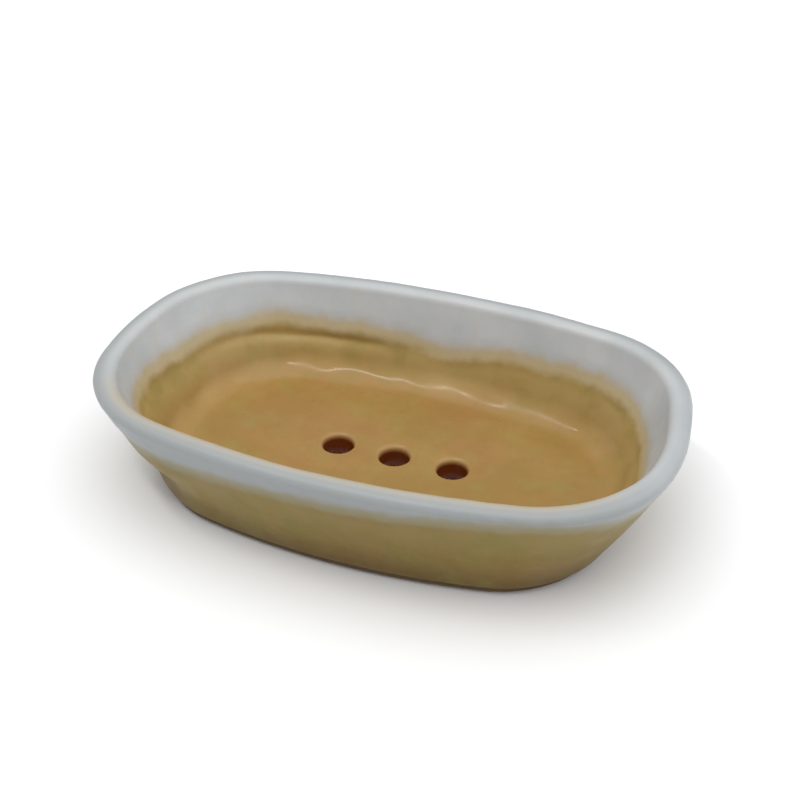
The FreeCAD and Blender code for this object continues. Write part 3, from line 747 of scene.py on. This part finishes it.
def white_glaze():
    """Satin cool white, warm where it is thin."""
    finish, tree, shader, place = new_finish("dipped_white_glaze")
    cloud = clouds(tree, place, **WHITE_CLOUDS)
    tall = add(tree, "Mapping", {"Vector": place, "Scale": STREAK_STRETCH}).outputs[0]
    streaks = clouds(tree, tall, **STREAKS)
    outer, crest = (add(tree, "Attribute", attribute_name=title).outputs["Fac"]
                    for title in ("outer_face", "crest"))
    line = border_distance(tree, place)
    near, past = (add(tree, "MapRange", {0: line, 1: start, 2: full},
                      interpolation_type="SMOOTHSTEP").outputs[0]
                  for start, full in ((-WHITE_BLEND, 0.0), (0.0, HONEY_BLEND)))
    mixed = add(tree, "Mix", {0: outer, 6: linear(BASIN_HONEY["mixed"]), 7: linear(WALL_HONEY_AND_SHADE["mixed"])},
                data_type="RGBA").outputs[2]
    colour = linear(COOL_WHITE)
    # Over the outer face the white takes the grey of the painted shade.
    for share, over in [(cloud, linear(BLUE_GREY)), (streaks, linear(WARM_WHITE)),
                        (outer, linear(OUTER_WHITE_SHADE)), (crest, linear(CREAM)),
                        (near, mixed), (past, linear(HONEY_THROUGH))]:
        colour = add(tree, "Mix", {0: share, 6: colour, 7: over}, data_type="RGBA").outputs[2]
    tree.links.new(colour, shader.inputs["Base Color"])
    gloss = add(tree, "MapRange", {0: cloud, 3: WHITE_ROUGHNESS[0], 4: WHITE_ROUGHNESS[1]}).outputs[0]
    tree.links.new(gloss, shader.inputs["Roughness"])
    fine_relief(tree, shader, place, **WHITE_PEEL)
    shader.inputs["IOR"].default_value = GLASS_IOR
    shader.inputs["Specular IOR Level"].default_value = WHITE_SHINE
    return finish


rim_white.data.materials.append(white_glaze())
print(rim_white.name, "wears", rim_white.data.materials[0].name)

# %% [markdown]
# ### Bare stoneware
# Buff clay, trimmed with a metal loop and wiped with a sponge.  It is dry and matte, with dark grains of
# grog, and next to the glaze it is darker brown, partly where it flashed toasty in the kiln and partly as
# painted shade at the bottom edge.  Noise alone would look like sand, so the grains are separate cells.

# %% Bare stoneware
# The toasted brown is partly a kiln flash and partly painted shade at the bottom edge.
BUFF, PALE_BUFF, GROG, TOASTED_AND_SHADED = "#A98D6B", "#BBA283", "#5A4230", "#5E4828"
CLAY_CLOUDS = dict(size_mm=9, detail=5, cut=(0.0, 1.0))
GROG_SPACING, GROG_SHARE = 1.9, 0.8
GROG_EDGE, GROG_CORE = 0.2, 0.1   # shares of the spacing
CLAY_ROUGHNESS, CLAY_IOR = 0.88, 1.5
CLAY_SAND = dict(size_mm=0.7, detail=4, depth_mm=0.12, strength=0.8)


def bare_stoneware():
    """Dry matte clay with dark grains."""
    finish, tree, shader, place = new_finish("fired_bare_stoneware")
    cloud = clouds(tree, place, **CLAY_CLOUDS)
    toast_and_shade = add(tree, "Attribute", attribute_name="toast_and_shade").outputs["Fac"]
    grog = add(tree, "TexVoronoi", {"Vector": place, "Scale": per_metre(GROG_SPACING)}).outputs["Distance"]
    grains = add(tree, "MapRange", {0: grog, 1: GROG_EDGE, 2: GROG_CORE, 4: GROG_SHARE}).outputs[0]
    colour = linear(BUFF)
    for share, over in [(cloud, PALE_BUFF), (toast_and_shade, TOASTED_AND_SHADED), (grains, GROG)]:
        colour = add(tree, "Mix", {0: share, 6: colour, 7: linear(over)}, data_type="RGBA").outputs[2]
    tree.links.new(colour, shader.inputs["Base Color"])
    fine_relief(tree, shader, place, **CLAY_SAND)
    shader.inputs["Roughness"].default_value = CLAY_ROUGHNESS
    shader.inputs["IOR"].default_value = CLAY_IOR
    return finish


stoneware.data.materials.append(bare_stoneware())
print(stoneware.name, "wears", stoneware.data.materials[0].name)

# %% [markdown]
# ## Floor and light
# The dish stands on a plain white sweep in a pale room, like a tent of white cloth.  The room is brightest
# overhead, a little to the right, as from a lamp behind the cloth, and its left and right are paler than its
# front and back.  A long narrow strip, like a distant window, gives the thin glint along the cove.  Lamps
# alone would cast hard shadows that the picture does not have.

# %% Floor
FLOOR_SIDE = 4.0            # metres
PAPER_WHITE, PAPER_ROUGHNESS = "#F4F4F4", 0.9
floor_mesh = bpy.data.meshes.new("floor")
half = FLOOR_SIDE / 2
floor_mesh.from_pydata([(-half, -half, 0), (half, -half, 0), (half, half, 0), (-half, half, 0)], [],
                       [(0, 1, 2, 3)])
floor = bpy.data.objects.new("floor", floor_mesh)
bpy.context.scene.collection.objects.link(floor)
paper, _, paper_shader, _ = new_finish("white_paper_sweep")
paper_shader.inputs["Base Color"].default_value = linear(PAPER_WHITE)
paper_shader.inputs["Roughness"].default_value = PAPER_ROUGHNESS
floor_mesh.materials.append(paper)
print("floor, m wide:", FLOOR_SIDE)

# %% Light
bpy.context.scene.view_settings.view_transform = "Standard"
HORIZON, ZENITH, SIDE_GLOW = 0.28, 2.25, 0.30
LAMP_LEAN, LAMP_NARROWING = Vector((0.19, -0.03, 1.0)).normalized(), 3.0
ROOM_WHITE = "#F6F7F8"
room = bpy.data.worlds.new("pale_room")
room.use_nodes = True
air = room.node_tree
direction = add(air, "TexCoord").outputs["Generated"]
upward = add(air, "VectorMath", {0: direction, 1: LAMP_LEAN}, operation="DOT_PRODUCT").outputs["Value"]
upward = add(air, "Math", {0: upward, 1: LAMP_NARROWING}, operation="POWER").outputs[0]
glow = add(air, "MapRange", {0: upward, 3: HORIZON, 4: ZENITH}).outputs[0]
sideways = add(air, "SeparateXYZ", {0: direction}).outputs["X"]
sideways = add(air, "Math", {0: sideways, 1: sideways}, operation="MULTIPLY").outputs[0]
glow = add(air, "Math", {0: sideways, 1: SIDE_GLOW, 2: glow}, operation="MULTIPLY_ADD").outputs[0]
backdrop = air.nodes["Background"]
backdrop.inputs["Color"].default_value = linear(ROOM_WHITE)
air.links.new(glow, backdrop.inputs["Strength"])
bpy.context.scene.world = room

WINDOW_FROM, WINDOW_DISTANCE = Vector((-0.22, -0.3, 0.9)), 1.0
WINDOW_WIDE, WINDOW_TALL, WINDOW_WATTS = 0.80, 0.07, 2.2
window = bpy.data.objects.new("window", bpy.data.lights.new("window", "AREA"))
window.data.shape = "RECTANGLE"
window.data.size, window.data.size_y = WINDOW_WIDE, WINDOW_TALL
window.data.energy = WINDOW_WATTS
window.location = WINDOW_FROM.normalized() * WINDOW_DISTANCE
window.rotation_euler = WINDOW_FROM.to_track_quat("Z", "Y").to_euler()
bpy.context.scene.collection.objects.link(window)
print("light overhead to light at the horizon:", round(ZENITH / HORIZON, 1))
